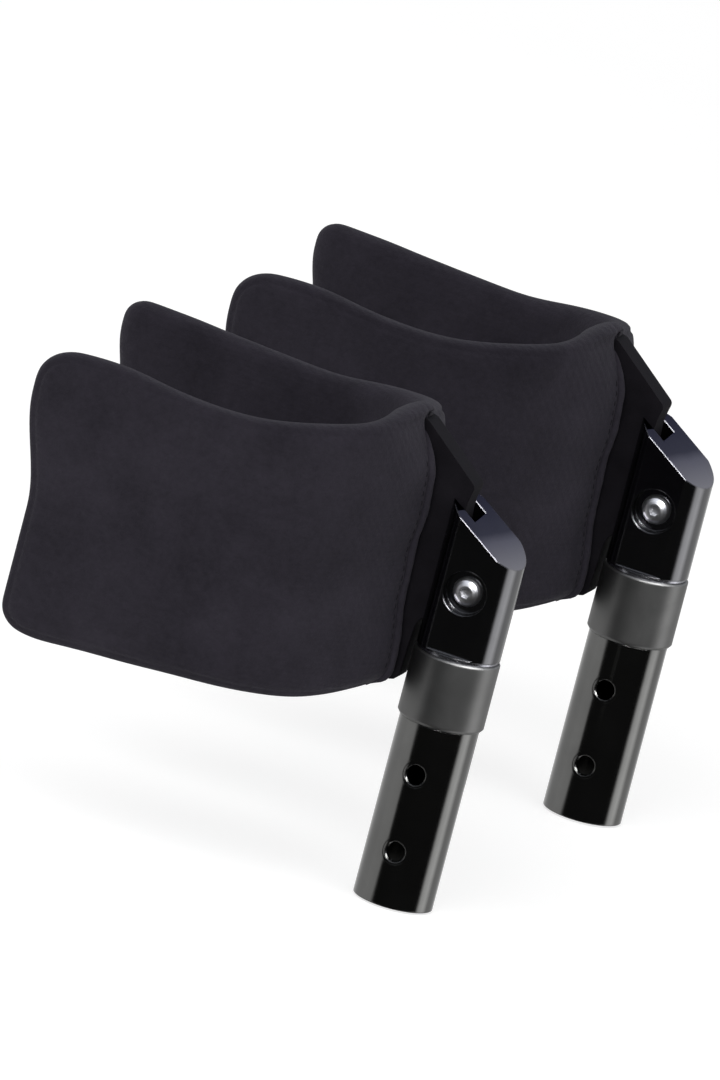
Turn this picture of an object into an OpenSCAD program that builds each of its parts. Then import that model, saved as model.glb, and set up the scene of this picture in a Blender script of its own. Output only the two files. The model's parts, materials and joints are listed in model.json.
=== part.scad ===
// Pair of forearm crutch cuff sections: padded arm cuff on a tilting bracket,
// pivot head, collar and the upper adjustment tube, two identical units.
// Millimetres, +Z up along the tubes. Origin: axis of the first tube at its
// open lower end. The cuffs open towards -X and the pivot screws face -Y.

/* [Tube] */
// Outside diameter of the adjustment tube
tube_d = 25.4; // [25.2:0.1:25.4]
// Wall thickness of the tube
tube_wall = 1.6; // [1.4:0.1:1.8]
// Diameter of the two adjustment holes
hole_d = 6.6; // [6.0:0.1:7.0]
// Distance between the adjustment holes
hole_pitch = 25.4; // [24:0.2:26]
// Height of the lower adjustment hole above the open end
hole_z = 17.9; // [16:0.1:19]

/* [Head] */
// Outside diameter of the pivot head
head_d = 26.8; // [26.8:0.1:27.2]
// Outside diameter of the collar
collar_d = 27.6; // [27.4:0.1:27.8]
// Distance across the two flats of the head
head_flats = 22.2; // [22:0.1:22.4]
// Height of the pivot axis above the open end of the tube
pivot_z = 103; // [102:0.5:106]
// Slope of the cut top of the head in degrees
top_slope = 33; // [32:1:34]

/* [Cuff] */
// Distance between the middles of the two padded walls
cuff_w = 90; // [89:0.5:92]
// Half height of the bracket's wide foot, before the trim at each end
foot_h = 28; // [26:1:29]

/* [Pair] */
// Sideways distance between the two tubes
pair_y = 178; // [150:1:260]
// Fore and aft offset of the second tube
pair_x = 6.5; // [-20:0.5:20]

/* [Hidden] */
$fn = 96;
gap = 0.05;              // clearance between neighbouring pieces
reach = 20;              // half length of the bores cut across a unit

// post
tube_r = tube_d / 2;
bore_r = tube_r - tube_wall;
counterbore_r = bore_r + 0.2;
turned_r = tube_r - 0.2; // tube end inside the collar
head_r = head_d / 2;
collar_r = collar_d / 2;
flat_y = head_flats / 2;
spigot_z = 58;           // lower end of the head's spigot in the tube
collar_z = 59.3;
pin_z = 70;
tube_top = 80.2;
ring_z = 81.4;
head_z = 82.4;
pin_r = 1.5;
pocket_y = 5.3;          // half width of the pocket in the head

// pivot
seat_y = 7.4;            // screw and nut seats, distance from the middle
seat_r = 7;
seat_gap = 0.02;
sleeve_r = 3.5;          // pivot sleeve nut
bushing_r = 4.95;
washer_r = 8.2;
// half section of the screw head, [radius, height over its seat]
screw_head = [[0, 0], [4.75, 0], [4.75, 0.5], [4.5, 1.25], [3.9, 1.95], [3.1, 2.45],
  [2.2, 2.75], [0, 2.75]];

// cuff, U-shaped in plan
back_x = -21;            // back of the padded cuff
half_wall = 5.5;         // half thickness of a padded wall
outer_r = cuff_w / 2 + half_wall;
inner_r = outer_r - 2 * half_wall;
bend_x = back_x - outer_r;
cover_t = 1.5;           // cover thickness
slab_h = 140;            // blank from which outlines are cut
// inner and outer bend radius of each layer
inner_pad_r = [outer_r - 9.35, outer_r - 6.85];
shell_r = [outer_r - 6.7, outer_r - 3.9];
foot_r = [outer_r - 3.75, outer_r - 1.65];
cavity_r = [inner_r + cover_t, outer_r - cover_t];

// bracket and rivets
web_y = 4.8;             // half thickness of the bracket web
slot_y = 5.4;            // half width of the cover's slot for the web
foot_y = 14;             // half width of the wide foot
foot_trim = 2;
foot_mid_z = pivot_z + 1;
rivet_r = 2;
rivet_y = 9.4;
rivet_z = [-15, 17];     // heights over the pivot axis
rivet_inner_x = bend_x + shell_r[0] - 3.05;

black = [0.05, 0.05, 0.055];
cloth = [0.17, 0.16, 0.19];
steel = [0.72, 0.72, 0.74];
ivory = [0.85, 0.84, 0.8];
foam = [0.3, 0.3, 0.33];

// Side outlines: [X, height over the pivot axis], anticlockwise.

cover_side = [[-133.5, -40], [-132, -45], [-127, -48.5], [-119, -49], [-90, -47.3],
  [-67, -45.8], [-50, -45], [-38, -42.3], [-30, -39.5], [-10, -35], [-10, 31],
  [-23, 31], [-26.4, 38], [-28.6, 44.5], [-31, 48.4], [-33.5, 47.6], [-37, 44],
  [-43, 41.3], [-50, 39.9], [-62, 39.2], [-75, 39.4], [-88, 39.9], [-104, 41.3],
  [-121, 42.6], [-134, 42], [-138.5, 39.5], [-141, 35], [-141, 28], [-138.5, 14],
  [-134.5, -4], [-133.5, -20]];

shell_side = [[-130, -39], [-129, -43], [-125, -45.3], [-118, -45.8], [-90, -44.1],
  [-67, -42.6], [-50, -41.8], [-38, -39.1], [-30, -36.3], [-12, -32], [-12, 27.8],
  [-23.5, 27.8], [-28, 36], [-31, 38.6], [-35, 38.2], [-40, 37.5], [-50, 36.7],
  [-62, 36], [-75, 36.2], [-88, 36.7], [-104, 38.1], [-121, 39.4], [-132.5, 38.7],
  [-136, 37], [-137.8, 34], [-137.8, 28.2], [-135.2, 14.5], [-131.3, -3.7], [-130.3, -20]];

// the foam stops short of the thin peak
foam_side = [[-130.1, -40], [-128.8, -43.5], [-125.6, -45], [-118.7, -45.6], [-90, -43.9],
  [-67, -42.4], [-50, -41.6], [-42.5, -40], [-42, -32.5], [-10, -32.5], [-10, 31],
  [-52, 31], [-52, 36.2], [-62, 35.8], [-75, 36], [-88, 36.5], [-104, 37.9],
  [-121, 39.2], [-132.5, 38.6], [-135.6, 36.8], [-137.6, 34], [-137.6, 28.6],
  [-135.2, 14.8], [-131.1, -3.7], [-130.1, -20]];

// bracket web; this one runs clockwise along its lower edge first
web_side = [[0, -8.9], [-4, -9.4], [-8.5, -10.8], [-11.6, -12.4], [-13.4, -14],
  [-14.4, -16.4], [-14.8, -21.2], [-15.05, -27], [-15.25, -32], [-15.7, -33.6],
  [-16.6, -34.6], [-18, -35], [-20.3, -35], [-20.3, -24.4], [-23.3, -22], [-23.3, 39.6],
  [-30.1, 40.4], [-30.1, 45.6], [-29.4, 47], [-28, 47.7], [-26.6, 47.3], [-7.7, 32.3],
  [-7.2, 31.6], [-7.1, 30.7], [-7.5, 29], [-8, 26.5], [-8.1, 24], [-7.9, 20],
  [-7.5, 16], [-6.8, 11.6], [-4.6, 7.6]];

// ---- helpers ----

function left_normal(a, b) = let(d = b - a) [-d[1], d[0]] / norm(d);
// anticlockwise outline moved inwards by distance
function inset(outline, distance) = let(count = len(outline)) [for (i = [0 : count - 1])
  let(corner = outline[i],
      before = left_normal(outline[(i + count - 1) % count], corner),
      after = left_normal(corner, outline[(i + 1) % count]))
  corner + distance * (before + after) / (1 + before * after)];

module unit(n) translate((n - 1) * [pair_x, pair_y, 0]) children();
module at_pivot() translate([0, 0, pivot_z]) children();
module cylinder_y(r, y0, y1) translate([0, y1, 0]) rotate([90, 0, 0]) cylinder(r = r, h = y1 - y0);
module bore_y(r) cylinder_y(r, -reach, reach);
module cylinder_x(r, x0, x1) translate([x0, 0, 0]) rotate([0, 90, 0])
  cylinder(r = r, h = x1 - x0, $fn = 48);
// side view shape made thick across the cuff
module across(thickness) at_pivot() rotate([90, 0, 0])
  linear_extrude(height = thickness, center = true) children();
module bend_plan(r) union() {
  translate([bend_x, 0]) circle(r = r, $fn = 128);
  translate([-170, -r]) square([170 + bend_x, 2 * r]);
}
// U-shaped wall between two bend radii, open towards -X
module u_wall(radii) translate([0, 0, pivot_z - slab_h / 2])
  linear_extrude(height = slab_h) difference() {
    bend_plan(radii[1]);
    bend_plan(radii[0]);
  }
// U-shaped wall cut to a side outline
module layer(radii, outline) intersection() {
  u_wall(radii);
  across(slab_h) polygon(outline);
}
module rivet_places() for (y = [-rivet_y, rivet_y], z = rivet_z)
  translate([0, y, pivot_z + z]) children();
module rivet_holes(r) rivet_places() cylinder_x(r, -60, 0);
// countersunk head, widening towards +X
module rivet_cone(clearance) translate([back_x - 4.7, 0, 0]) rotate([0, 90, 0])
  cylinder(r1 = 1.6 + clearance, r2 = 4 + clearance, h = 2.4, $fn = 48);
module pin_hole() translate([0, 0, pin_z]) bore_y(pin_r + gap, $fn = 32);

// ---- post: tube, collar and pivot head ----

module tube(n) color(black) unit(n) difference() {
  union() {
    cylinder(r = tube_r, h = collar_z - gap);
    cylinder(r = turned_r, h = tube_top);
  }
  translate([0, 0, -1]) cylinder(r = bore_r, h = tube_top + 2);
  // counterbore for the spigot
  translate([0, 0, spigot_z - 0.1]) cylinder(r = counterbore_r, h = 30);
  for (i = [0, 1]) translate([0, 0, hole_z + i * hole_pitch]) bore_y(hole_d / 2, $fn = 48);
  pin_hole();
  // chamfered mouth
  translate([0, 0, -0.01]) cylinder(r1 = bore_r + 0.5, r2 = bore_r, h = 0.5);
}

module collar(n) color(black) unit(n) rotate_extrude() polygon([
  [turned_r + gap, collar_z], [collar_r - 0.7, collar_z], [collar_r, collar_z + 0.9],
  [collar_r, ring_z - 0.5], [collar_r - 0.4, ring_z - gap], [turned_r + gap, ring_z - gap]]);

module trim_ring(n) color(steel) unit(n) translate([0, 0, ring_z]) difference() {
  cylinder(r = head_r - 0.5, h = head_z - ring_z - gap);
  translate([0, 0, -1]) cylinder(r = counterbore_r + gap, h = 4);
}

module head(n) color(black) unit(n) difference() {
  union() {
    translate([0, 0, spigot_z]) cylinder(r = counterbore_r - 0.06, h = head_z - spigot_z + 1);
    translate([0, 0, head_z]) cylinder(r = head_r, h = 50);
  }
  // hollow spigot
  translate([0, 0, spigot_z - 1]) cylinder(r = 8, h = head_z - spigot_z - 2);
  pin_hole();
  // top falls towards +X and is a little higher at the nut side
  translate([0, 0, pivot_z + 19.3]) rotate([6, top_slope, 0])
    translate([-60, -30, 0]) cube([120, 60, 60]);
  // flats
  for (y = [-flat_y - 20, flat_y]) translate([-30, y, head_z + 0.4]) cube([60, 20, 80]);
  // pocket for the bracket web, open at the cuff side
  translate([-30, -pocket_y, pivot_z - 16]) cube([30, 2 * pocket_y, 27.5]);
  at_pivot() cylinder_y(11.5, -pocket_y, pocket_y);
  translate([-30, -pocket_y, pivot_z]) cube([26, 2 * pocket_y, 60]);
  // pivot bore and seats
  at_pivot() {
    cylinder_y(sleeve_r + 0.06, -30, 30, $fn = 64);
    cylinder_y(seat_r, -30, -seat_y, $fn = 64);
    cylinder_y(seat_r, seat_y, 30, $fn = 64);
  }
}

module head_pin(n) color(steel) unit(n) translate([0, 0, pin_z])
  cylinder_y(pin_r, -tube_r + 0.45, tube_r - 0.45, $fn = 32);

module pivot_screw(n) color(steel) unit(n) at_pivot() difference() {
  union() {
    translate([0, -seat_y - seat_gap, 0]) rotate([90, 0, 0])
      rotate_extrude($fn = 64) polygon(screw_head);
    cylinder_y(2.42, -seat_y - 0.1, 5.5, $fn = 48);
  }
  // hexagon socket
  translate([0, -seat_y - 1.1, 0]) rotate([90, 0, 0]) cylinder(r = 1.74, h = 4, $fn = 6);
}

module pivot_sleeve_nut(n) color(steel) unit(n) at_pivot() difference() {
  union() {
    cylinder_y(sleeve_r, -seat_y + 0.15, seat_y + 0.2, $fn = 64);
    cylinder_y(6.2, seat_y + seat_gap, seat_y + 2.2, $fn = 64);
  }
  cylinder_y(2.5, -reach, 6.2, $fn = 48);
  // screwdriver slot
  translate([-8, seat_y + 1.3, -0.6]) cube([16, 3, 1.2]);
}

// ---- tilting cuff ----

module pivot_bushing(n) color(ivory) unit(n) at_pivot() difference() {
  cylinder_y(bushing_r, -web_y, web_y, $fn = 64);
  bore_y(sleeve_r + gap, $fn = 64);
}

// one between each side of the web and the pocket
module thrust_washers(n) color(ivory) unit(n) at_pivot()
  for (y = [[-pocket_y + gap, -web_y - 0.03], [web_y + 0.03, pocket_y - gap]]) difference() {
    cylinder_y(washer_r, y[0], y[1], $fn = 64);
    bore_y(sleeve_r + 0.06, $fn = 64);
  }

module cuff_bracket(n) color(black) unit(n) difference() {
  union() {
    // web from the pivot eye to the foot
    across(2 * web_y) union() {
      circle(r = 9);
      polygon(web_side);
    }
    // wide foot on the shell
    intersection() {
      u_wall(foot_r);
      translate([-60, -foot_y, foot_mid_z - foot_h + foot_trim])
        cube([60, 2 * foot_y, 2 * (foot_h - foot_trim)]);
    }
  }
  at_pivot() bore_y(bushing_r + gap, $fn = 64);
  rivet_holes(rivet_r + gap);
  rivet_places() rivet_cone(gap);
}

module bracket_rivets(n) color(steel) unit(n) intersection() {
  rivet_places() {
    cylinder_x(rivet_r, rivet_inner_x, back_x - 2.2);
    rivet_cone(0);
    cylinder_x(3.8, rivet_inner_x, rivet_inner_x + 0.95);
  }
  // ends flush with the foot
  translate([bend_x, 0, 0]) cylinder(r = foot_r[1] - gap, h = 200, $fn = 128);
}

module cuff_shell(n) color(black) unit(n) difference() {
  layer(shell_r, shell_side);
  rivet_holes(rivet_r + gap);
}

module inner_pad(n) color(foam) unit(n) difference() {
  layer(inner_pad_r, foam_side);
  rivet_holes(4.6);
}

// in two halves, either side of the bracket foot
module outer_pad(n) color(foam) unit(n) difference() {
  layer(foot_r, foam_side);
  translate([-60, -foot_y - 1.2, 0]) cube([60, 2 * (foot_y + 1.2), 300]);
}

module web_slot(x, z, height) translate([x, -slot_y, pivot_z + z]) cube([20, 2 * slot_y, height]);

module cuff_cover(n) color(cloth) unit(n) difference() {
  layer([inner_r, outer_r], cover_side);
  layer(cavity_r, inset(cover_side, 1.6));
  // slot at the back for the bracket web, then its deeper top
  web_slot(-24.9, -25, 90);
  web_slot(-30.5, 38.9, 30);
}

// a strip along each side of the slot
module cover_binding(n) color(cloth) unit(n) intersection() {
  u_wall([outer_r + 0.1, outer_r + 1.5]);
  for (y = [-10, slot_y]) translate([-60, y, pivot_z - 26]) cube([60, 10 - slot_y, 54]);
}

tube(1);  // tube_1
collar(1);  // collar_1
trim_ring(1);  // trim_ring_1
head(1);  // pivot_head_1
head_pin(1);  // head_pin_1
pivot_screw(1);  // pivot_screw_1
pivot_sleeve_nut(1);  // pivot_sleeve_nut_1
pivot_bushing(1);  // pivot_bushing_1
thrust_washers(1);  // thrust_washers_1
cuff_bracket(1);  // cuff_bracket_1
bracket_rivets(1);  // bracket_rivets_1
cuff_shell(1);  // cuff_shell_1
inner_pad(1);  // inner_pad_1
outer_pad(1);  // outer_pad_1
cuff_cover(1);  // cuff_cover_1
cover_binding(1);  // cover_binding_1
tube(2);  // tube_2
collar(2);  // collar_2
trim_ring(2);  // trim_ring_2
head(2);  // pivot_head_2
head_pin(2);  // head_pin_2
pivot_screw(2);  // pivot_screw_2
pivot_sleeve_nut(2);  // pivot_sleeve_nut_2
pivot_bushing(2);  // pivot_bushing_2
thrust_washers(2);  // thrust_washers_2
cuff_bracket(2);  // cuff_bracket_2
bracket_rivets(2);  // bracket_rivets_2
cuff_shell(2);  // cuff_shell_2
inner_pad(2);  // inner_pad_2
outer_pad(2);  // outer_pad_2
cuff_cover(2);  // cuff_cover_2
cover_binding(2);  // cover_binding_2
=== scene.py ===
# Two padded cuffs, units 1 and 2, each tilting on a pivot head on its own black tube.
# Z is up. In plan each cuff is a U: its rounded back faces +X and its two flaps run to
# tips at -X. The "near" flap is on the -Y side, where the camera stands.
# Lengths are in metres, except in the cuff and hole lip sections, which work in
# millimetres from a unit's pivot.
import bpy
import json
import math
import numpy as np
from mathutils import Matrix, Vector, noise
from mathutils.bvhtree import BVHTree

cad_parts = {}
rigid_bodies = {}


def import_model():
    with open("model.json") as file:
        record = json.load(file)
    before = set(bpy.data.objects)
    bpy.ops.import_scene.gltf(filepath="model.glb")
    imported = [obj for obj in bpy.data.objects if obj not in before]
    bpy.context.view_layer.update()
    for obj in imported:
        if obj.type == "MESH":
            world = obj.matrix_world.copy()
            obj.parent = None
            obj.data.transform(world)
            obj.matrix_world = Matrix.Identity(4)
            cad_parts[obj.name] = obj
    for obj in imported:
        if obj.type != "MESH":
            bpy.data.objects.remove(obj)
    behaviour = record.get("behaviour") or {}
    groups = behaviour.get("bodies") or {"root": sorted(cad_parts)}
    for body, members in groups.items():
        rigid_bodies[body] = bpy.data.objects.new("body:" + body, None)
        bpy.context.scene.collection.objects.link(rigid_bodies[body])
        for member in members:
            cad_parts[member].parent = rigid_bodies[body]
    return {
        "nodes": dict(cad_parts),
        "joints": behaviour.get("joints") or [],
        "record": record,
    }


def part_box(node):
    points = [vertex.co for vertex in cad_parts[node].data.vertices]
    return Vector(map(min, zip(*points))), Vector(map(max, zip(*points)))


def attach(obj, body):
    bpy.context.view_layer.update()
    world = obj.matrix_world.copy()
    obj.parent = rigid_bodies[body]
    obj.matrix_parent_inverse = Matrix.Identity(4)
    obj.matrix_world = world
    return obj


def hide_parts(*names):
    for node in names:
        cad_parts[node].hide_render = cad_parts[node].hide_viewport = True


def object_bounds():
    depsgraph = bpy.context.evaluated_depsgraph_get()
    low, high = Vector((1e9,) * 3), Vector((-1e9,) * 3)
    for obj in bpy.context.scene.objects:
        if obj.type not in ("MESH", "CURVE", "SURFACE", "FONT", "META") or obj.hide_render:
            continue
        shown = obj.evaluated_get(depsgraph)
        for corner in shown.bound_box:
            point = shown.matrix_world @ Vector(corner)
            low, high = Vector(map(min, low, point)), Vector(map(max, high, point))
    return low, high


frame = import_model()
CAD_BOX = [[float(v) for v in corner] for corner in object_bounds()]
scene = bpy.context.scene
MM = 0.001
UNITS = (1, 2)

joints = {joint["name"]: joint for joint in frame["joints"]}
PIVOT = {n: np.array(joints["cuff_tilt_%d" % n]["pos_m"], float) for n in UNITS}
BODY = {n: joints["cuff_tilt_%d" % n]["child"] for n in UNITS}
POSTS = joints["cuff_tilt_1"]["parent"]

# ------------------------------------------------------------------ node helpers


class Nodes:
    """Short calls for building one node tree."""

    def __init__(self, tree):
        self.tree = tree
        tree.nodes.clear()

    def link(self, source, target):
        self.tree.links.new(source, target)

    def feed(self, node, **inputs):
        """Link or set inputs by name, with underscores for spaces."""
        for name, value in inputs.items():
            socket = node.inputs[name.replace("_", " ")]
            if isinstance(value, bpy.types.NodeSocket):
                self.link(value, socket)
            else:
                socket.default_value = value

    def add(self, kind, **values):
        """New node. Capitalised names are inputs, the others are properties."""
        node = self.tree.nodes.new(kind)
        for name, value in values.items():
            if name[0].isupper():
                self.feed(node, **{name: value})
            else:
                setattr(node, name, value)
        return node

    def out(self, kind, output=0, **values):
        """One output of a new node."""
        return self.add(kind, **values).outputs[output]

    def math(self, operation, *operands):
        node = self.add("ShaderNodeMath", operation=operation)
        for socket, value in zip(node.inputs, operands):
            if isinstance(value, (int, float)):
                socket.default_value = value
            else:
                self.link(value, socket)
        return node.outputs[0]

    def scaled(self, value, times, plus=0.0):
        return self.math("MULTIPLY_ADD", value, times, plus)

    def dot(self, vector, axis):
        node = self.add("ShaderNodeVectorMath", operation="DOT_PRODUCT")
        self.link(vector, node.inputs[0])
        node.inputs[1].default_value = axis
        return node.outputs["Value"]

    def noise(self, vector, scale, detail, rough=0.5, warp=0.0):
        return self.out("ShaderNodeTexNoise", "Fac", Scale=scale, Detail=detail,
                        Roughness=rough, Distortion=warp, Vector=vector)

    def ramp(self, fac, stops):
        """Colour ramp from (position, rgb) stops."""
        node = self.add("ShaderNodeValToRGB", Fac=fac)
        elements = node.color_ramp.elements
        while len(elements) < len(stops):
            elements.new(0.5)
        for element, (position, color) in zip(elements, stops):
            element.position = position
            element.color = (*color, 1.0)
        return node.outputs["Color"]

    def bump(self, surface, height, strength, distance, edge_radius=None):
        """Bump on a surface, over softened edges where a radius is given."""
        extra = {}
        if edge_radius:
            extra["Normal"] = self.out("ShaderNodeBevel", samples=4, Radius=edge_radius)
        self.feed(surface, Normal=self.out("ShaderNodeBump", Strength=strength,
                                           Distance=distance, Height=height, **extra))


def new_material(name):
    """Material, its tree, its surface node and the object coordinates."""
    mat = bpy.data.materials.new(name)
    mat.use_nodes = True
    tree = Nodes(mat.node_tree)
    surface = tree.add("ShaderNodeBsdfPrincipled")
    tree.add("ShaderNodeOutputMaterial", Surface=surface.outputs[0])
    return mat, tree, surface, tree.out("ShaderNodeTexCoord", "Object")


def dim(color, factor):
    return tuple(v * factor for v in color)


# ------------------------------------------------------------------ materials


def cloth_material(name, dark, light, edge=0.35, nap=1.0):
    """Brushed knit: mottled nap, fine knit bump, and painted shade that makes it darker where
    it turns away from the view.
    """
    mat, tree, surface, pos = new_material(name)
    blotch = tree.noise(pos, scale=42.0, detail=5.0, rough=0.62, warp=0.35)
    fleck = tree.noise(pos, scale=520.0, detail=3.0, rough=0.65)
    fuzz = tree.noise(pos, scale=1900.0, detail=2.0, rough=0.7)
    mottle = tree.scaled(blotch, times=0.55)
    mottle = tree.scaled(fleck, times=0.3, plus=mottle)
    mottle = tree.scaled(fuzz, times=0.15, plus=mottle)
    color = tree.ramp(mottle, [(0.34, dark), (0.66, light)])
    # painted shade: the colour is multiplied by edge where the surface turns away from the
    # view
    facing = tree.out("ShaderNodeLayerWeight", "Facing", Blend=0.35)
    grazing_shade = tree.math("POWER", facing, 2.2)
    shaded = tree.out("ShaderNodeMixRGB", blend_type="MULTIPLY", Fac=grazing_shade, Color1=color,
                      Color2=(edge, edge, edge, 1.0))
    tree.feed(surface, Base_Color=shaded,
              Roughness=tree.scaled(fleck, times=0.12, plus=0.86),
              Specular_IOR_Level=0.16, Sheen_Weight=0.08, Sheen_Roughness=0.6,
              Sheen_Tint=(0.6, 0.58, 0.66, 1.0))
    # knit: two crossed waves under the fuzz
    mapped = tree.out("ShaderNodeMapping", Vector=pos)
    waves = [tree.out("ShaderNodeTexWave", "Fac", wave_type="BANDS", bands_direction=direction,
                      Scale=scale, Distortion=warp, Detail=2.0, Vector=mapped)
             for direction, scale, warp in (("Z", 190.0, 1.2), ("DIAGONAL", 150.0, 1.5))]
    knit = tree.math("ADD", *waves)
    height = tree.scaled(knit, times=0.22, plus=tree.math("MULTIPLY", fuzz, 0.9))
    height = tree.scaled(fleck, times=0.9, plus=height)
    height = tree.scaled(blotch, times=0.7, plus=height)
    tree.bump(surface, height, strength=0.55 * nap, distance=0.0005)
    return mat


def painted_slope_light(tree, pos, smear):
    """Mask of the pivot head's sloped top, and the light painted on it: a painted reflection
    at its foot that fades to painted shade towards the cuff.
    """
    slope_height = 0.0165
    slope_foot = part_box("pivot_head_1")[1].z - slope_height
    normal = tree.out("ShaderNodeNewGeometry", "True Normal")
    facing_slope = tree.dot(normal, (0.5417, -0.1045, 0.8341))
    on_slope = tree.math("GREATER_THAN", facing_slope, 0.985)
    z = tree.out("ShaderNodeSeparateXYZ", "Z", Vector=pos)
    # the slope falls away from the cuff, so height tells the place along it
    zone = tree.scaled(z, times=1 / slope_height, plus=-slope_foot / slope_height)
    zone = tree.scaled(smear, times=0.12, plus=zone)
    # painted reflection, light at the slope's foot, fading to painted shade at its top by the
    # cuff
    painted_light = tree.ramp(zone, [(0.0, (0.97, 0.94, 0.96)), (0.36, (0.64, 0.63, 0.70)),
                            (0.48, (0.42, 0.42, 0.47)), (1.0, (0.35, 0.35, 0.40))])
    return on_slope, painted_light


def gloss_material(name, base, rough, coat=0.25, painted_slope=False):
    """Black metallic finish with faint orange peel, dust and softened edges."""
    mat, tree, surface, pos = new_material(name)
    peel = tree.noise(pos, scale=260.0, detail=2.0)
    dust = tree.noise(pos, scale=1500.0, detail=4.0, rough=0.7)
    smear = tree.noise(pos, scale=60.0, detail=4.0, rough=0.6, warp=0.4)
    roughness = tree.scaled(smear, times=0.06, plus=rough)
    roughness = tree.scaled(dust, times=0.03, plus=roughness)
    color = tree.ramp(smear, [(0.3, dim(base, 0.9)), (0.75, dim(base, 1.12))])
    # painted reflection and painted shade on the sloped top, carried into the colour, the
    # specular tint and the coat
    if painted_slope:
        on_slope, painted_light = painted_slope_light(tree, pos, smear)
        color, painted_light_tint = [
            tree.out("ShaderNodeMixRGB", blend_type="MULTIPLY", Fac=on_slope, Color1=under,
                     Color2=painted_light)
            for under in (color, (1.0, 1.0, 1.0, 1.0))]
        tree.feed(surface, Specular_Tint=painted_light_tint)
        level = tree.out("ShaderNodeSeparateColor", Color=painted_light_tint)
        coat = tree.math("MULTIPLY", level, coat)
    tree.feed(surface, Base_Color=color, Roughness=roughness, Metallic=1.0,
              Coat_Weight=coat, Coat_Roughness=0.08)
    tree.bump(surface, peel, strength=0.05, distance=0.0003, edge_radius=0.0007)
    return mat


def plastic_material(name, base, rough, grain, spec=0.4):
    """Moulded plastic with a fine spark-eroded grain."""
    mat, tree, surface, pos = new_material(name)
    pits = tree.noise(pos, scale=1400.0, detail=3.0, rough=0.6)
    patch = tree.noise(pos, scale=90.0, detail=4.0, rough=0.55)
    tree.feed(surface, Specular_IOR_Level=spec,
              Base_Color=tree.ramp(patch, [(0.3, dim(base, 0.8)), (0.7, dim(base, 1.25))]),
              Roughness=tree.scaled(patch, times=0.14, plus=rough))
    tree.bump(surface, pits, strength=grain, distance=0.00025, edge_radius=0.0006)
    return mat


def steel_material(name, base, rough):
    """Plated steel with turning marks and slight tarnish."""
    mat, tree, surface, pos = new_material(name)
    tarnish = tree.noise(pos, scale=420.0, detail=5.0, rough=0.65)
    stretched = tree.out("ShaderNodeMapping", Scale=(3.0, 0.3, 3.0), Vector=pos)
    marks = tree.noise(stretched, scale=900.0, detail=3.0, rough=0.6)
    tree.feed(surface, Metallic=1.0,
              Base_Color=tree.ramp(tarnish, [(0.3, dim(base, 0.72)), (0.62, dim(base, 1.05))]),
              Roughness=tree.scaled(marks, times=0.18, plus=rough))
    tree.bump(surface, marks, strength=0.12, distance=0.0002, edge_radius=0.00035)
    return mat


def foam_material(name, base):
    """Open-cell foam."""
    mat, tree, surface, pos = new_material(name)
    cells = tree.out("ShaderNodeTexVoronoi", "Distance", Scale=900.0, Vector=pos)
    tree.feed(surface, Roughness=0.95,
              Base_Color=tree.ramp(cells, [(0.0, dim(base, 0.5)), (0.6, dim(base, 1.2))]))
    tree.bump(surface, cells, strength=0.6, distance=0.0006)
    return mat


cloth = cloth_material("charcoal_cloth", dark=(0.0108, 0.0093, 0.0135),
                       light=(0.0238, 0.0209, 0.0288))
cloth_hem = cloth_material("hem_cloth", dark=(0.0126, 0.0110, 0.0155),
                           light=(0.0265, 0.0235, 0.0316), edge=0.45, nap=0.8)
thread = cloth_material("thread", dark=(0.0068, 0.0060, 0.0082),
                        light=(0.0125, 0.0112, 0.0148), edge=0.8, nap=0.5)
gloss_tube = gloss_material("gloss_black_tube", base=(0.090, 0.090, 0.088), rough=0.085)
# the head's material carries painted reflection and painted shade on its sloped top
gloss_head = gloss_material("gloss_black_head", base=(0.085, 0.085, 0.090), rough=0.075,
                            painted_slope=True)
satin_collar = gloss_material("satin_collar", base=(0.105, 0.105, 0.104), rough=0.36, coat=0.0)
moulded_black = plastic_material("moulded_black", base=(0.0082, 0.0074, 0.0094), rough=0.72,
                                 grain=0.35, spec=0.05)
steel = steel_material("nickel_steel", base=(0.62, 0.62, 0.64), rough=0.24)
dark_ring = steel_material("dark_ring", base=(0.30, 0.30, 0.33), rough=0.16)
nylon = plastic_material("natural_nylon", base=(0.62, 0.60, 0.54), rough=0.45, grain=0.1)
foam = foam_material("cell_foam", base=(0.05, 0.05, 0.055))

FINISH = {
    "tube": gloss_tube, "collar": satin_collar, "trim_ring": dark_ring,
    "pivot_head": gloss_head, "head_pin": steel, "pivot_screw": steel,
    "pivot_sleeve_nut": steel, "pivot_bushing": nylon, "thrust_washers": nylon,
    "cuff_bracket": moulded_black, "bracket_rivets": steel, "cuff_shell": moulded_black,
    "inner_pad": foam, "outer_pad": foam, "cuff_cover": cloth, "cover_binding": cloth_hem,
}
for name, obj in frame["nodes"].items():
    obj.data.materials.clear()
    obj.data.materials.append(FINISH[name.rsplit("_", 1)[0]])

# ------------------------------------------------------------------ mesh helpers


def coords(mesh):
    flat = np.zeros(len(mesh.vertices) * 3)
    mesh.vertices.foreach_get("co", flat)
    return flat.reshape(-1, 3)


def set_coords(mesh, points):
    mesh.vertices.foreach_set("co", np.asarray(points, np.float64).ravel())
    mesh.update()


def shade_smooth(mesh):
    mesh.polygons.foreach_set("use_smooth", [True] * len(mesh.polygons))


def join_parts(name, parts):
    """One smooth mesh from (vertices, faces) parts in metres."""
    verts, faces = [], []
    for part_verts, part_faces in parts:
        start = len(verts)
        verts += part_verts
        faces += [tuple(i + start for i in face) for face in part_faces]
    mesh = bpy.data.meshes.new(name)
    mesh.from_pydata(verts, [], faces)
    mesh.update()
    shade_smooth(mesh)
    return mesh


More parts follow.
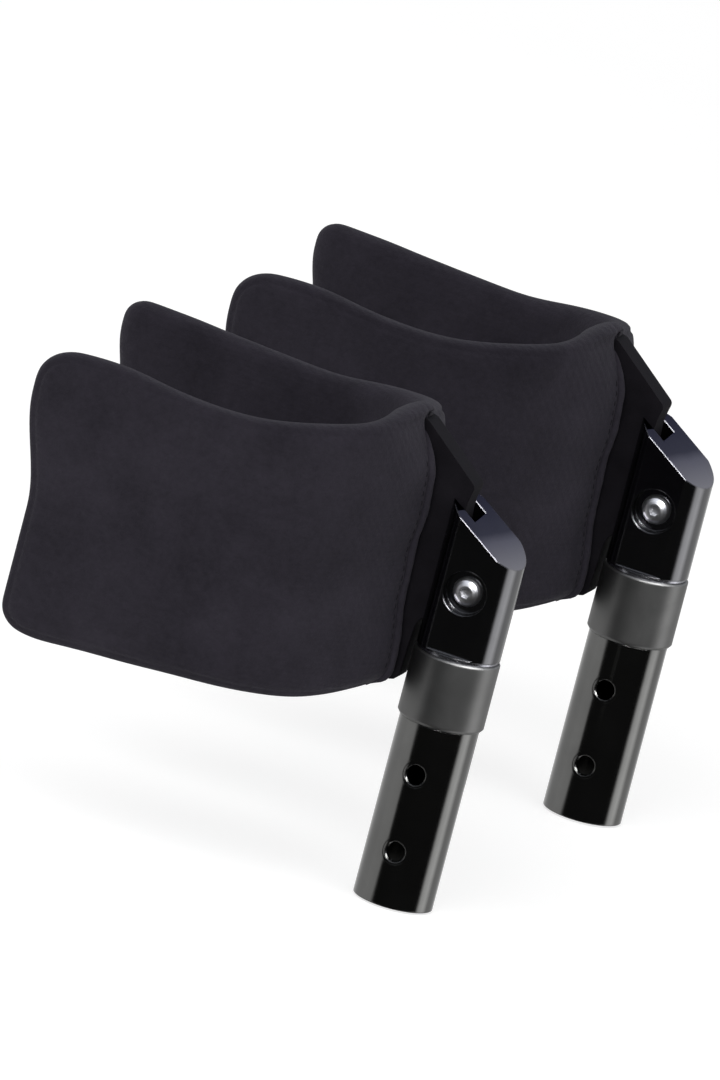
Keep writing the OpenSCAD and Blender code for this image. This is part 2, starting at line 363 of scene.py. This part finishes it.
def cord(points, radii, segments, squash=1.0):
    """Round capped cord along points in mm; squash flattens it across the X side."""
    points = [Vector(p) for p in points]
    radii = np.broadcast_to(radii, len(points))
    verts, faces = [], []
    side = Vector((1, 0, 0))
    last = len(points) - 1
    for i, point in enumerate(points):
        tangent = (points[min(i + 1, last)] - points[max(i - 1, 0)]).normalized()
        across = (side - tangent * side.dot(tangent)).normalized()
        other = tangent.cross(across)
        for k in range(segments):
            angle = 2 * math.pi * k / segments
            vert = (point + across * (math.cos(angle) * radii[i] * squash)
                    + other * (math.sin(angle) * radii[i]))
            verts.append(tuple(vert * MM))
    for i in range(last):
        for k in range(segments):
            a, b = i * segments + k, i * segments + (k + 1) % segments
            faces.append((a, b, b + segments, a + segments))
    faces.append(tuple(range(segments))[::-1])
    faces.append(tuple(last * segments + k for k in range(segments)))
    return verts, faces


def place(mesh, mesh_name, n, name, material, body, slot, *replaced):
    """Object from a copy of a pivot-centred mesh, moved to unit n."""
    mesh = mesh.copy()
    mesh.name = mesh_name
    set_coords(mesh, coords(mesh) + PIVOT[n])
    obj = bpy.data.objects.new(name, mesh)
    scene.collection.objects.link(obj)
    mesh.materials.clear()
    mesh.materials.append(material)
    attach(obj, body)
    if replaced:
        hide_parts(*replaced)


# ------------------------------------------------------------------ cuff wall shape

# The wall's middle line starts at the near tip, runs along the near flap, round the
# back and out along the far flap. A place on the wall is its distance along that line.
cover_lo, cover_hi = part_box("cuff_cover_1")
OUTER_R = (cover_hi.y - cover_lo.y) / 2 / MM
HALF_THICK = 5.5
MID_R = OUTER_R - HALF_THICK
ARC_X = (cover_hi.x - PIVOT[1][0]) / MM - OUTER_R
TIP_X = (cover_lo.x - PIVOT[1][0]) / MM + 7.7
FLAP = ARC_X - TIP_X
ARC_LEN = math.pi * MID_R
WALL_LEN = 2 * FLAP + ARC_LEN

EDGE_ROUND = 6.4  # width over which the padding rounds down to its edge
PUFF_CAP = 1.5    # largest movement in the pressure simulation


def on_arc(degrees):
    """Place on the wall that many degrees round the back from the near flap."""
    return FLAP + MID_R * math.radians(degrees)


# top edge: place from the nearer tip, height of the near half, height of the far half
TOP_AT, TOP_NEAR, TOP_FAR = np.array([
    (0.0, 43.2, 43.5), (6.0, 43.1, 43.7), (12.3, 43.5, 43.5), (20.0, 43.9, 43.1),
    (29.3, 43.3, 42.3), (37.0, 42.0, 41.7), (45.3, 41.1, 41.1), (53.0, 40.8, 40.6),
    (FLAP, 41.2, 40.4), (on_arc(15), 42.8, 42.0), (on_arc(30), 44.8, 44.0),
    (on_arc(45), 46.7, 45.8), (on_arc(60), 49.0, 47.3), (on_arc(75), 51.1, 48.7),
    (on_arc(90), 51.8, 51.8),
]).T
# bottom edge: place from the nearer tip, height
BOTTOM_AT, BOTTOM = np.array([
    (0.0, -47.4), (6.0, -47.7), (12.3, -48.4), (20.0, -48.1), (29.3, -47.4),
    (45.3, -46.5), (FLAP, -45.3), (on_arc(15), -44.8), (on_arc(30), -44.3),
    (on_arc(45), -43.4), (on_arc(60), -41.3), (on_arc(75), -39.5), (on_arc(90), -39.0),
]).T
# outward bulge of the back: height, bulge
BULGE_AT, BULGE = np.array([
    (-40.0, 3.2), (-26.0, 2.8), (-18.0, 1.9), (-6.0, 0.8), (4.5, 0.1),
    (14.6, 0.3), (23.0, 0.3), (31.0, 0.2), (40.0, 0.0),
]).T


def ease(x, start, span):
    """Smooth step from 0 at start to 1 at start + span."""
    t = np.clip((x - start) / span, 0.0, 1.0)
    return t * t * (3 - 2 * t)


def spline(stations, values, x):
    """Cubic spline, natural at its first point and with zero slope at its last."""
    count = len(stations)
    step = np.diff(stations)
    matrix = np.zeros((count, count))
    right = np.zeros(count)
    matrix[0, 0] = 1.0
    for i in range(1, count - 1):
        matrix[i, i - 1:i + 2] = step[i - 1], 2 * (step[i - 1] + step[i]), step[i]
        right[i] = 6 * ((values[i + 1] - values[i]) / step[i]
                        - (values[i] - values[i - 1]) / step[i - 1])
    matrix[-1, -2:] = step[-1], 2 * step[-1]
    right[-1] = 6 * (0 - (values[-1] - values[-2]) / step[-1])
    curve = np.linalg.solve(matrix, right)
    x = np.clip(x, stations[0], stations[-1])
    i = np.clip(np.searchsorted(stations, x) - 1, 0, count - 2)
    after, before = x - stations[i], stations[i + 1] - x
    return ((curve[i] * before ** 3 + curve[i + 1] * after ** 3) / (6 * step[i])
            + (values[i] / step[i] - curve[i] * step[i] / 6) * before
            + (values[i + 1] / step[i] - curve[i + 1] * step[i] / 6) * after)


def from_tip(place):
    """Distance from the nearer tip along the wall."""
    return np.minimum(place, WALL_LEN - place)


def corner_drop(distance, radius):
    """How far a rounded corner draws the edge in."""
    t = np.clip(1 - distance / radius, 0.0, 1.0)
    return radius * (1 - np.sqrt(np.maximum(0.0, 1 - t * t)))


def top_edge(place):
    tip = from_tip(place)
    near = spline(TOP_AT, TOP_NEAR, tip) - corner_drop(tip, radius=11.5)
    far = spline(TOP_AT, TOP_FAR, tip) - corner_drop(tip, radius=6.5)
    return np.where(place <= WALL_LEN / 2, near, far)


def bottom_edge(place):
    tip = from_tip(place)
    return spline(BOTTOM_AT, BOTTOM, tip) + corner_drop(tip, radius=8.5)


def slant(place, z):
    """Place after the slant of the tips, which reach further out towards the top."""
    shift = -7.6 * ease(z, start=-8, span=36)
    far_shift = shift - 0.4 - 2.2 * ease(z, start=20, span=14)
    fade = 1 - ease(from_tip(place), start=0, span=70)
    return np.where(place <= WALL_LEN / 2, place + (shift - 0.5) * fade,
                    place - far_shift * fade)


def wall_line(place):
    """Point and outward normal of the wall's middle line."""
    near, far = place < FLAP, place > FLAP + ARC_LEN
    angle = (place - FLAP) / MID_R
    x = np.where(near, TIP_X + place,
                 np.where(far, TIP_X + (WALL_LEN - place), ARC_X + MID_R * np.sin(angle)))
    y = np.where(near, -MID_R, np.where(far, MID_R, -MID_R * np.cos(angle)))
    normal_x = np.where(near | far, 0.0, np.sin(angle))
    normal_y = np.where(near, -1.0, np.where(far, 1.0, -np.cos(angle)))
    return x, y, normal_x, normal_y


def arc_degrees(place):
    return np.degrees(np.clip((place - FLAP) / MID_R, 0, math.pi))


def back_weight(place, start=45.0, span=40.0):
    """0 on the flaps, rising to 1 at the back; start and span in degrees."""
    turn = arc_degrees(place)
    return ease(np.minimum(turn, 180 - turn), start, span)


def lean(place, z):
    """The top of the back leans inwards, and a little out again at its peak."""
    return back_weight(place) * (-6.5 * ease(z, start=31, span=17)
                                 + 2.5 * ease(z, start=47, span=4))


def bulge(place, z):
    return back_weight(place) * spline(BULGE_AT, BULGE, z)


# ------------------------------------------------------------------ cover skin


def outline_distance(px, pz, line_x, line_z):
    """Distance of points to a closed line."""
    dx, dz = np.roll(line_x, -1) - line_x, np.roll(line_z, -1) - line_z
    length2 = dx * dx + dz * dz + 1e-12
    best = np.full(px.shape, 1e9)
    for i in range(len(line_x)):
        from_x, from_z = px - line_x[i], pz - line_z[i]
        t = np.clip((from_x * dx[i] + from_z * dz[i]) / length2[i], 0, 1)
        best = np.minimum(best, np.hypot(from_x - t * dx[i], from_z - t * dz[i]))
    return best


def grid_columns():
    """Places of the grid columns: close at the tips, wide on the flaps, fine at the back."""
    half = [0, 0.35, 1.0, 2.0, 3.4, 5.2, 7.2, 9.4, 11.8]
    flap_step, back_step, back_half = 2.6, 1.15, 15
    middle = WALL_LEN / 2
    while half[-1] + flap_step < middle - back_half:
        half.append(half[-1] + flap_step)
    back_count = int(round((middle - half[-1]) / back_step)) + 1
    half = np.array(half + list(np.linspace(half[-1], middle, back_count)[1:]))
    return np.concatenate([half, WALL_LEN - half[::-1][1:]])


def grid_rows(count=40):
    """Fractions of the wall height, closer together at both edges."""
    t = np.linspace(0, 1, count)
    return 0.42 * t + 0.58 * 0.5 * (1 - np.cos(np.pi * t))


def border(grid):
    return np.concatenate([grid[:, 0], grid[-1, 1:], grid[::-1, -1][1:], grid[0, ::-1][1:-1]])


def cover_grid():
    """Place, height and distance to the cover's edge for each grid point."""
    place, row = np.meshgrid(grid_columns(), grid_rows(), indexing="ij")
    z = bottom_edge(place) * (1 - row) + top_edge(place) * row
    place = slant(place, z)
    inset = outline_distance(place, z, border(place), border(z))
    inset[[0, -1], :] = 0
    inset[:, [0, -1]] = 0
    return place, z, inset


def make_skin():
    """Closed skin of the padded cuff. Returns the mesh and (place, z, inset, side) of each
    vertex; side is 1 outside, -1 inside and 0 on the edge."""
    place, z, inset = cover_grid()
    columns, rows = place.shape
    rounding = np.minimum(inset / EDGE_ROUND, 1)
    thick = (HALF_THICK * np.sqrt(np.maximum(0, 1 - (1 - rounding) ** 2))
             + 0.35 * (1 - np.exp(-inset / 14)))
    x, y, normal_x, normal_y = wall_line(place)
    # channel down the back for the bracket web
    turn = arc_degrees(place)
    channel = (1 - ease(np.abs(y), start=4.7, span=1.1)) * (turn > 60) * (turn < 120)
    channel_depth = 1.5 * channel * ease(z, start=-27, span=4) * rounding
    verts, tags, faces = [], [], []
    index = {side: np.zeros((columns, rows), int) for side in (1, -1)}
    for side in (1, -1):
        offset = thick * side + lean(place, z)
        if side == 1:
            offset = offset + bulge(place, z) * rounding - channel_depth
        skin_x, skin_y = x + normal_x * offset, y + normal_y * offset
        for i in range(columns):
            for j in range(rows):
                edge = i in (0, columns - 1) or j in (0, rows - 1)
                if side == -1 and edge:
                    index[-1][i, j] = index[1][i, j]
                    continue
                index[side][i, j] = len(verts)
                verts.append((skin_x[i, j] * MM, skin_y[i, j] * MM, z[i, j] * MM))
                tags.append((place[i, j], z[i, j], inset[i, j], 0 if edge else side))
    outer, inner = index[1], index[-1]
    for i in range(columns - 1):
        for j in range(rows - 1):
            faces.append((outer[i, j], outer[i + 1, j], outer[i + 1, j + 1], outer[i, j + 1]))
            faces.append((inner[i, j], inner[i, j + 1], inner[i + 1, j + 1], inner[i + 1, j]))
    mesh = bpy.data.meshes.new("cover_skin")
    mesh.from_pydata(verts, [], faces)
    mesh.update()
    return mesh, np.array(tags)


def puff(obj, tags, cap):
    """Short pressure simulation of the skin. No point moves further than cap."""
    last_frame = 20
    rest = coords(obj.data)
    pins = obj.vertex_groups.new(name="pins")
    place, _, inset, side = tags.T
    held_back = back_weight(place, start=70, span=14) * (side > 0)
    weights = np.clip(np.maximum(1 - inset / 3.0, held_back), 0, 1)
    for i, weight in enumerate(weights):
        if weight > 0.02:
            pins.add([i], float(weight), "REPLACE")
    mod = obj.modifiers.new("cloth", "CLOTH")
    settings = mod.settings
    settings.quality = 6
    settings.mass = 0.25
    settings.tension_stiffness = settings.compression_stiffness = 18
    settings.shear_stiffness = 8
    settings.bending_stiffness = 1.2
    settings.use_pressure = True
    settings.uniform_pressure_force = 4.0
    settings.effector_weights.gravity = 0
    settings.vertex_group_mass = "pins"
    mod.collision_settings.use_self_collision = False
    mod.collision_settings.use_collision = False
    mod.point_cache.frame_start, mod.point_cache.frame_end = 1, last_frame
    for i in range(1, last_frame + 1):
        scene.frame_set(i)
    depsgraph = bpy.context.evaluated_depsgraph_get()
    move = coords(obj.evaluated_get(depsgraph).data) - rest
    obj.modifiers.clear()
    obj.vertex_groups.clear()
    scene.frame_set(1)
    length = np.linalg.norm(move, axis=1)
    move *= (np.minimum(length, cap) / np.maximum(length, 1e-9))[:, None]
    # never inwards past the foam
    _, _, normal_x, normal_y = wall_line(place)
    outward = np.stack([normal_x * side, normal_y * side, np.zeros_like(place)], 1)
    inward = np.minimum((move * outward).sum(1), 0)
    move -= outward * inward[:, None]
    set_coords(obj.data, rest + move)


def subdivide(obj):
    sub = obj.modifiers.new("sub", "SUBSURF")
    sub.levels = sub.render_levels = 1
    depsgraph = bpy.context.evaluated_depsgraph_get()
    depsgraph.update()
    fine = bpy.data.meshes.new_from_object(
        obj.evaluated_get(depsgraph), preserve_all_data_layers=True, depsgraph=depsgraph)
    obj.modifiers.clear()
    coarse = obj.data
    obj.data = fine
    bpy.data.meshes.remove(coarse)


def finish_skin(obj, tags):
    """One subdivision, then the seam line and the soft unevenness of the cloth."""
    # the tags ride through the subdivision as attributes
    tag_names = ("t_q", "t_z", "t_d", "t_side")
    for name, column in zip(tag_names, tags.T):
        attribute = obj.data.attributes.new(name, "FLOAT", "POINT")
        attribute.data.foreach_set("value", column.astype(np.float32))
    subdivide(obj)
    mesh = obj.data
    values = []
    for name in tag_names:
        value = np.zeros(len(mesh.vertices), np.float32)
        mesh.attributes[name].data.foreach_get("value", value)
        values.append(value.astype(float))
    for name in tag_names:
        mesh.attributes.remove(mesh.attributes[name])
    place, z, inset, side = values
    points = coords(mesh)
    normals = np.zeros(len(mesh.vertices) * 3)
    mesh.vertices.foreach_get("normal", normals)
    normals = normals.reshape(-1, 3)
    outer = side > 0.2
    # groove of the seam round the outer panel, and the roll between it and the edge
    seam = np.exp(-((inset - 2.6) / 0.5) ** 2) * outer
    roll = np.exp(-((inset - 1.3) / 0.7) ** 2) * outer
    relief = (-0.55 * seam + 0.20 * roll) * (1 - back_weight(place, start=72, span=8) * 0.6)
    # broad and fine unevenness
    uneven = np.array([0.34 * noise.noise(Vector(p) * 34.0)
                       + 0.16 * noise.noise(Vector(p + 3.0) * 95.0) for p in points])
    # folds that run out from the hems beside the bracket
    turn = arc_degrees(place)
    aside = np.abs(points[:, 1] / MM)
    pull = np.exp(-((aside - 12) / 9.0) ** 2) * (turn > 50) * (turn < 130) * outer
    folds = 0.30 * pull * np.sin(z / 3.4 + 0.6 * np.sin(z / 9.0) + aside * 0.22)
    relief = relief + (uneven + folds) * np.minimum(inset / 5, 1)
    set_coords(mesh, points + normals * (relief * MM)[:, None])
    shade_smooth(mesh)


# the skin is made and simulated once, and both units use copies of it
skin, skin_tags = make_skin()
work = bpy.data.objects.new("cover_work", skin)
scene.collection.objects.link(work)
puff(work, skin_tags, PUFF_CAP * MM)
finish_skin(work, skin_tags)
skin = work.data
bpy.data.objects.remove(work)
SKIN = BVHTree.FromPolygons([v.co.copy() for v in skin.vertices],
                            [tuple(face.vertices) for face in skin.polygons])

# ------------------------------------------------------------------ hems and stitches


def surface_x(y, z):
    """X of the outer skin at the back of the cuff, or None off the skin."""
    hit = SKIN.ray_cast(Vector((0.02, y * MM, z * MM)), Vector((-1, 0, 0)))[0]
    return None if hit is None or hit.x < -0.045 else hit.x / MM


def hem_y(z):
    """The hems run beside the bracket and draw together towards the peak."""
    return 6.7 - 4.4 * float(ease(z, start=33, span=17))


def hem_line(side, bottom, top, count, out):
    """Points just off the skin along a hem, with their X smoothed."""
    points = []
    for z in np.linspace(bottom, top, count):
        y = side * hem_y(z)
        x = surface_x(y, z)
        if x is not None:
            points.append([x + out, y, z])
    points = np.array(points)
    padded = np.pad(points[:, 0], 2, mode="edge")
    points[:, 0] = sum(padded[i:i + len(points)] for i in range(5)) / 5
    return points


def make_hem():
    """A slightly uneven cord on each side, thinned and sunk into the skin at its ends."""
    parts = []
    for side, top in ((-1, 51.0), (1, 47.5)):
        points = hem_line(side, bottom=-40.5, top=top, count=92, out=0.3)
        t = np.linspace(0, 1, len(points))
        lower = ease(t, start=0, span=0.05)
        upper = ease(1 - t, start=0, span=0.12)
        radii = 1.6 + 0.09 * np.sin(t * 41.0) + 0.05 * np.sin(t * 97.0 + 1.0)
        radii = radii * (0.25 + 0.75 * lower) * (0.30 + 0.70 * upper)
        points[:, 0] -= 0.8 * (1 - lower) + 0.9 * (1 - upper)
        parts.append(cord(points, radii, segments=14, squash=0.9))
    return join_parts("hem", parts)


def make_stitches():
    """Lockstitches beside each hem, short sunk threads, and a bar tack at the peak."""
    pitch, beside_hem = 3.1, 2.7
    parts = []
    for side in (-1, 1):
        for middle in np.arange(-30.0, 36.0, pitch):
            points = []
            for dz in (-1.0, -0.5, 0.0, 0.5, 1.0):
                z = middle + dz
                y = side * (hem_y(z) + beside_hem)
                x = surface_x(y, z)
                if x is not None:
                    points.append((x + 0.16 - 0.40 * dz * dz, y, z))
            if len(points) == 5:
                parts.append(cord(points, 0.22, segments=6))
    for z in (48.0, 48.7, 49.4):
        line = [(surface_x(y, z), y) for y in (-2.4, -1.2, 0.0, 1.2, 2.4)]
        if all(x is not None for x, y in line):
            parts.append(cord([(x + 0.3, y, z) for x, y in line], 0.3, segments=6))
    return join_parts("stitches", parts)


hem, stitches = make_hem(), make_stitches()
for n in UNITS:
    place(skin, "cover_mesh_%d" % n, n, "padded_cover_%d" % n, cloth, BODY[n],
          "cover_cloth", "cuff_cover_%d" % n)
    place(hem, "hem_mesh_%d" % n, n, "rolled_hem_%d" % n, cloth_hem, BODY[n],
          "binding", "cover_binding_%d" % n)
    place(stitches, "stitch_mesh_%d" % n, n, "hem_stitches_%d" % n, thread, BODY[n], "binding")

# ------------------------------------------------------------------ hole lips

tube_lo, tube_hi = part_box("tube_1")
TUBE_R = (tube_hi.y - tube_lo.y) / 2 / MM
LIP_BEND = 1.2     # radius of the quarter round
LIP_OVERLAP = 0.15 # how far the lip stands into the hole
LIP_SEGMENTS = 56
LIP_STEPS = 10


def make_lips(hole_heights, hole_r):
    """The wall turns inwards round each hole, on both the -Y and +Y side of the tube."""
    throat = hole_r - LIP_OVERLAP
    # profile: distance from the hole's axis, depth below the tube's surface
    profile = [(hole_r + 1.75, -0.005), (hole_r + 1.35, -0.02)]
    for k in range(LIP_STEPS + 1):
        bend = math.pi / 2 * k / LIP_STEPS
        profile.append((throat + LIP_BEND * (1 - math.sin(bend)),
                        LIP_BEND * (1 - math.cos(bend)) - 0.03))
    profile.append((throat, LIP_BEND + 0.25))
    count = len(profile)
    parts = []
    for height in hole_heights:
        for side in (-1, 1):
            verts, faces = [], []
            for i in range(LIP_SEGMENTS):
                angle = 2 * math.pi * i / LIP_SEGMENTS
                for radius, depth in profile:
                    turn = radius * math.cos(angle) / TUBE_R
                    wall_r = TUBE_R - depth
                    verts.append((wall_r * math.sin(turn) * MM,
                                  side * wall_r * math.cos(turn) * MM,
                                  (radius * math.sin(angle) + height) * MM))
            for i in range(LIP_SEGMENTS):
                following = (i + 1) % LIP_SEGMENTS
                for k in range(count - 1):
                    a, b = i * count + k, i * count + k + 1
                    c, d = following * count + k + 1, following * count + k
                    faces.append((a, b, c, d) if side > 0 else (d, c, b, a))
            parts.append((verts, faces))
    return join_parts("hole_lips", parts)


holes = next(m for m in frame["record"]["mounts"] if m["name"] == "adjustment_holes_1")
half_pitch = holes["dims"]["spacing_y_mm"] / 2
hole_mid = (holes["pos_m"][2] - PIVOT[1][2]) / MM
lips = make_lips([hole_mid - half_pitch, hole_mid + half_pitch], holes["dims"]["hole_r_mm"])
for n in UNITS:
    place(lips, "lip_mesh_%d" % n, n, "hole_lips_%d" % n, gloss_tube, POSTS, "black_tube")

# ------------------------------------------------------------------ camera

AZIMUTH, ELEVATION, ROLL = math.radians(14.7), math.radians(13.6), math.radians(14.75)
CAMERA_DIST = 10.5
VIEW_WIDTH = 0.3375  # width of the view at CAMERA_DIST
SENSOR = 36.0        # mm
# where the first unit's pivot screw stands from the middle of the view
SCREW_RIGHT, SCREW_BELOW = 33.0625 * MM, 16.25 * MM

sin_az, cos_az = math.sin(AZIMUTH), math.cos(AZIMUTH)
sin_el, cos_el = math.sin(ELEVATION), math.cos(ELEVATION)
to_camera = Vector((sin_az * cos_el, -cos_az * cos_el, sin_el))
level_right = Vector((cos_az, sin_az, 0.0))
level_up = Vector((-sin_az * sin_el, cos_az * sin_el, cos_el))
camera_right = level_right * math.cos(ROLL) + level_up * math.sin(ROLL)
camera_up = level_up * math.cos(ROLL) - level_right * math.sin(ROLL)
screw = Vector(PIVOT[1]) + Vector((0, -8.7 * MM, 0))
target = screw - camera_right * SCREW_RIGHT + camera_up * SCREW_BELOW

camera_data = bpy.data.cameras.new("camera")
camera = bpy.data.objects.new("camera", camera_data)
scene.collection.objects.link(camera)
camera_data.sensor_width = SENSOR
camera_data.lens = SENSOR * CAMERA_DIST / VIEW_WIDTH
camera_data.clip_start, camera_data.clip_end = 0.1, 60.0
# the distance counts from midway between the two units
half_depth = (Vector(PIVOT[2]) - Vector(PIVOT[1])).dot(to_camera) / 2
rotation = Matrix((camera_right, camera_up, to_camera)).transposed().to_4x4()
camera.matrix_world = (
    Matrix.Translation(target + to_camera * (CAMERA_DIST + half_depth)) @ rotation)
scene.camera = camera
scene.view_settings.view_transform = "Standard"
scene.view_settings.look = "None"

# ------------------------------------------------------------------ floor


def make_floor(half_size=9.0, cells=12, gap=0.0006):
    """Pale, faintly glowing floor just below the lowest point."""
    mesh = bpy.data.meshes.new("floor_mesh")
    z = CAD_BOX[0][2] - gap
    steps = [(i / cells - 0.5) * 2 * half_size for i in range(cells + 1)]
    row = cells + 1
    mesh.from_pydata([(x, y, z) for x in steps for y in steps], [],
                     [(i * row + j, (i + 1) * row + j, (i + 1) * row + j + 1, i * row + j + 1)
                      for i in range(cells) for j in range(cells)])
    floor = bpy.data.objects.new("floor", mesh)
    scene.collection.objects.link(floor)
    mat, tree, surface, pos = new_material("pale_floor")
    cloud = tree.noise(pos, scale=3.0, detail=3.0)
    tree.feed(surface, Roughness=0.9, Specular_IOR_Level=0.1,
              Base_Color=tree.ramp(cloud, [(0.3, (0.44,) * 3), (0.7, (0.47,) * 3)]),
              Emission_Color=(1, 1, 1, 1), Emission_Strength=0.70)
    mesh.materials.append(mat)
    floor.visible_glossy = False


make_floor()

# ------------------------------------------------------------------ lamps

center = Vector([(lo + hi) / 2 for lo, hi in zip(*CAD_BOX)])


def area(name, turn, rise, dist, size, power, glossy=True):
    """Square lamp aimed at the centre, turn degrees to the camera's right and rise
    degrees above the horizon."""
    data = bpy.data.lights.new(name, "AREA")
    data.energy = power
    data.size = size
    lamp = bpy.data.objects.new(name, data)
    scene.collection.objects.link(lamp)
    a, e = AZIMUTH + math.radians(turn), math.radians(rise)
    spot = center + Vector((math.sin(a) * math.cos(e), -math.cos(a) * math.cos(e),
                            math.sin(e))) * dist
    lamp.location = spot
    lamp.rotation_mode = "QUATERNION"
    lamp.rotation_quaternion = (center - spot).to_track_quat("-Z", "Y")
    lamp.visible_camera = False
    lamp.visible_glossy = glossy
    return lamp


def light_only(lamp, name, *starts):
    """Keep a lamp to highlights on the pieces whose names start so."""
    parts = bpy.data.collections.new(name)
    for obj in scene.objects:
        if obj.type == "MESH" and obj.name.startswith(starts):
            parts.objects.link(obj)
    lamp.light_linking.receiver_collection = parts
    lamp.visible_diffuse = False


area("key", turn=-32, rise=50, dist=1.6, size=1.1, power=11, glossy=False)
area("fill", turn=48, rise=28, dist=1.8, size=1.2, power=5, glossy=False)
flash = area("flash", turn=4, rise=32, dist=1.5, size=0.42, power=22)
side_lamp = area("side_lamp", turn=50, rise=44, dist=1.5, size=1.0, power=80)
light_only(flash, "flash_parts", "tube_", "collar_", "trim_ring_", "pivot_", "hole_lips_")
light_only(side_lamp, "side_parts", "tube_", "collar_", "trim_ring_", "pivot_head",
           "hole_lips_")

# ------------------------------------------------------------------ world

# Reflected surroundings: degrees to the camera's right, brightness. Dark behind the
# camera, bright at the sides.
AROUND = [(-180, 0.26), (-130, 0.30), (-90, 0.46), (-66, 0.46), (-56, 0.012), (74, 0.012),
          (84, 0.85), (100, 1.0), (116, 0.32), (140, 0.22), (180, 0.26)]
# degrees above the horizon, share of the even overhead colour
OVERHEAD = [(-90, 0.0), (6, 0.0), (30, 1.0), (90, 1.0)]


def make_world():
    """White to the camera, soft and even for diffuse light, a studio in reflections."""
    world = bpy.data.worlds.new("studio")
    scene.world = world
    world.use_nodes = True
    tree = Nodes(world.node_tree)
    output = tree.add("ShaderNodeOutputWorld")
    direction = tree.out("ShaderNodeTexCoord", "Generated")
    toward = tree.dot(direction, (sin_az, -cos_az, 0.0))
    rightward = tree.dot(direction, tuple(level_right))
    upward = tree.dot(direction, (0.0, 0.0, 1.0))
    angle = tree.math("ARCTAN2", rightward, toward)
    turn = tree.scaled(angle, times=1 / (2 * math.pi), plus=0.5)
    sides = tree.ramp(turn, [(a / 360 + 0.5, (v,) * 3) for a, v in AROUND])
    above = tree.ramp(tree.scaled(upward, times=0.5, plus=0.5),
                      [(0.5 + 0.5 * math.sin(math.radians(a)), (v,) * 3) for a, v in OVERHEAD])
    studio = tree.out("ShaderNodeMixRGB", Fac=above, Color1=sides,
                      Color2=(0.42, 0.44, 0.48, 1.0))
    reflected, soft, white = [
        tree.out("ShaderNodeBackground", Color=color, Strength=strength)
        for color, strength in ((studio, 2.6), ((1.0,) * 4, 0.52), ((1.0,) * 4, 1.0))]
    rays = tree.add("ShaderNodeLightPath").outputs
    shader = soft
    for ray, seen in (("Is Glossy Ray", reflected), ("Is Camera Ray", white)):
        mix = tree.add("ShaderNodeMixShader", Fac=rays[ray])
        tree.link(shader, mix.inputs[1])
        tree.link(seen, mix.inputs[2])
        shader = mix.outputs[0]
    tree.feed(output, Surface=shader)


make_world()
